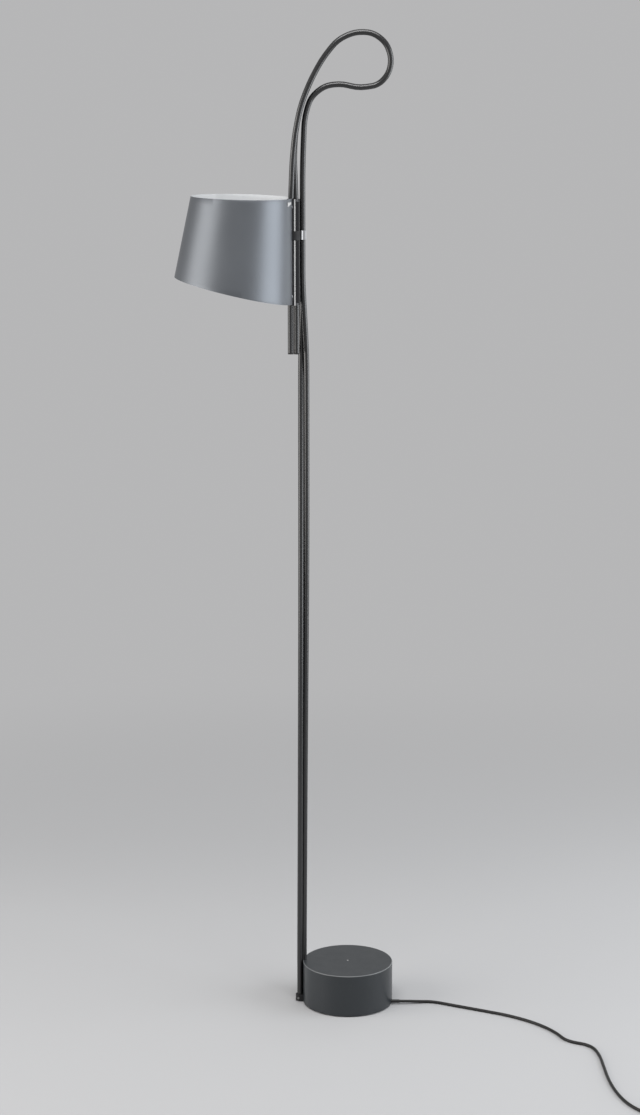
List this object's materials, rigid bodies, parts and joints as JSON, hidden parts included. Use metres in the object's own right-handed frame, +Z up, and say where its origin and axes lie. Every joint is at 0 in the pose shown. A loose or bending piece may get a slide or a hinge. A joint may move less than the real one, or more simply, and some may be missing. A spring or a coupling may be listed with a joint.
{
  "type": "reading floor lamp",
  "caption": "Floor lamp with a heavy round base, a twin-strand stem that loops over at the top and an open conical shade that slides and swivels on it.",
  "frame": {"origin": "middle of the base on the floor, under the foot pad", "axes": "+Z up; the shade hangs towards -X and the mains lead leaves towards +X; -Y is the front"},
  "size_m": [0.8871, 0.5943, 1.6587],
  "materials": {
    "slate_paint": "fine satin powder coat",
    "strand_black": "smooth satin black",
    "rod_core": "pultruded glass fibre",
    "carriage_black": "gloss black",
    "ring_polish": "polished",
    "collar_black": "matt black",
    "shade_metal": "satin outside, white inside",
    "mount_metal": "plain cast",
    "sink_metal": "blasted",
    "screw_steel": "plain zinc plated",
    "tab_white": "matt white",
    "board_white": "white solder mask",
    "board_green": "green solder mask",
    "chip_yellow": "phosphor face",
    "diffuser_opal": "opal",
    "stud_metal": "polished",
    "pad_rubber": "ribbed anti-slip",
    "cover_black": "grained",
    "case_grey": "grained",
    "terminal_white": "plain",
    "lead_black": "satin sheath",
    "wire_red": "plain insulation",
    "pin_brass": "nickel plated"
  },
  "bodies": {
    "base": {"base_weight": "slate_paint", "foot_pad": "pad_rubber", "underside_cover": "cover_black", "cover_screws": "screw_steel", "touch_stud": "stud_metal", "touch_board": "board_green", "driver_case": "case_grey", "driver_wires": "wire_red", "terminal_block": "terminal_white", "stem_grub_screws": "screw_steel", "stem_foot_block": "collar_black", "foot_block_screw": "screw_steel", "rod_sleeve": "strand_black", "cable_sleeve": "strand_black", "fibre_rod": "rod_core", "supply_cable": "lead_black", "tail_plugs": "collar_black", "strain_relief": "lead_black", "inner_lead": "lead_black", "mains_lead": "lead_black", "lead_coil": "lead_black", "plug_body": "lead_black", "plug_pins": "pin_brass"},
    "slider": {"clip_collar": "collar_black", "stem_ring": "ring_polish", "clip_screw": "screw_steel"},
    "head": {"carriage_tube": "carriage_black", "carriage_top_ring": "carriage_black", "carriage_bottom_ring": "carriage_black", "shade": "shade_metal", "upper_shade_mounts": "mount_metal", "lower_shade_mounts": "mount_metal", "shade_rivets": "mount_metal", "corner_tab": "tab_white", "pickup_block": "collar_black", "lamp_arm": "mount_metal", "lamp_pan": "sink_metal", "heat_sink": "sink_metal", "light_board": "board_white", "light_chips": "chip_yellow", "diffuser": "diffuser_opal", "pan_screws": "screw_steel", "lamp_wire": "wire_red"}
  },
  "joints": [
    {"name": "head_slide", "type": "slide", "parent": "base", "child": "slider", "axis": [0, 0, 1], "range_m": [-0.05, 0.055]},
    {"name": "shade_swivel", "type": "hinge", "parent": "slider", "child": "head", "pos_m": [-0.0918, -0.0093, 1.329], "axis": [0, 0, 1], "range_deg": [-20, 110]}
  ]
}
